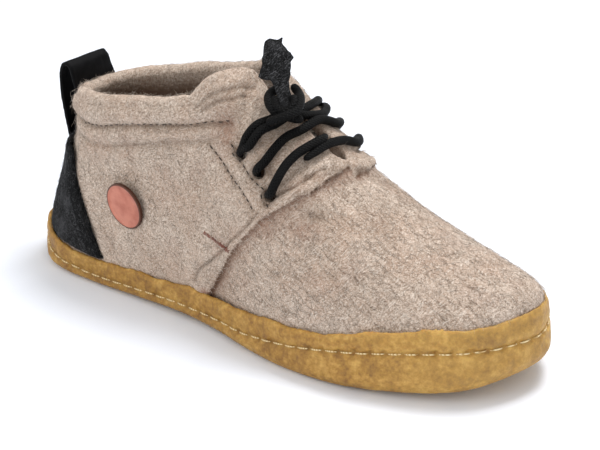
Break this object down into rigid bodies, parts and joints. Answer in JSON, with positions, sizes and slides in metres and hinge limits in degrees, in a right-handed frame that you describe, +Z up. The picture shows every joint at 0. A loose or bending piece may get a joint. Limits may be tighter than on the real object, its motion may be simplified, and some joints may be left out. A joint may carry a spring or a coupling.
{
  "type": "slipper",
  "caption": "Ankle-high wool felt slipper with crepe cup sole, short lacing over a slit throat, felt heel counter, rear pull loop and round side badge.",
  "frame": {"origin": "on the floor plane, under the middle of the sole's length and width", "axes": "+X from heel to toe, +Y to the inner side of the foot, +Z up"},
  "size_m": [0.27, 0.0978, 0.1314],
  "materials": {
    "felt": "matte melange wool felt",
    "charcoal_felt": "matte charcoal wool felt",
    "footbed": "matte felt",
    "crepe": "translucent natural crepe, mottled",
    "leather": "smooth black leather",
    "copper": "brushed copper",
    "lace": "black waxed round cord"
  },
  "bodies": {
    "root": {"outsole": "crepe", "insole": "footbed", "upper": "felt", "tongue": "felt", "heel_counter": "charcoal_felt", "pull_loop": "leather", "badge": "copper", "lace_top": "lace", "lace_low": "lace", "lace_end_outer": "lace", "lace_end_inner": "lace", "lace_tab": "charcoal_felt"}
  },
  "joints": []
}
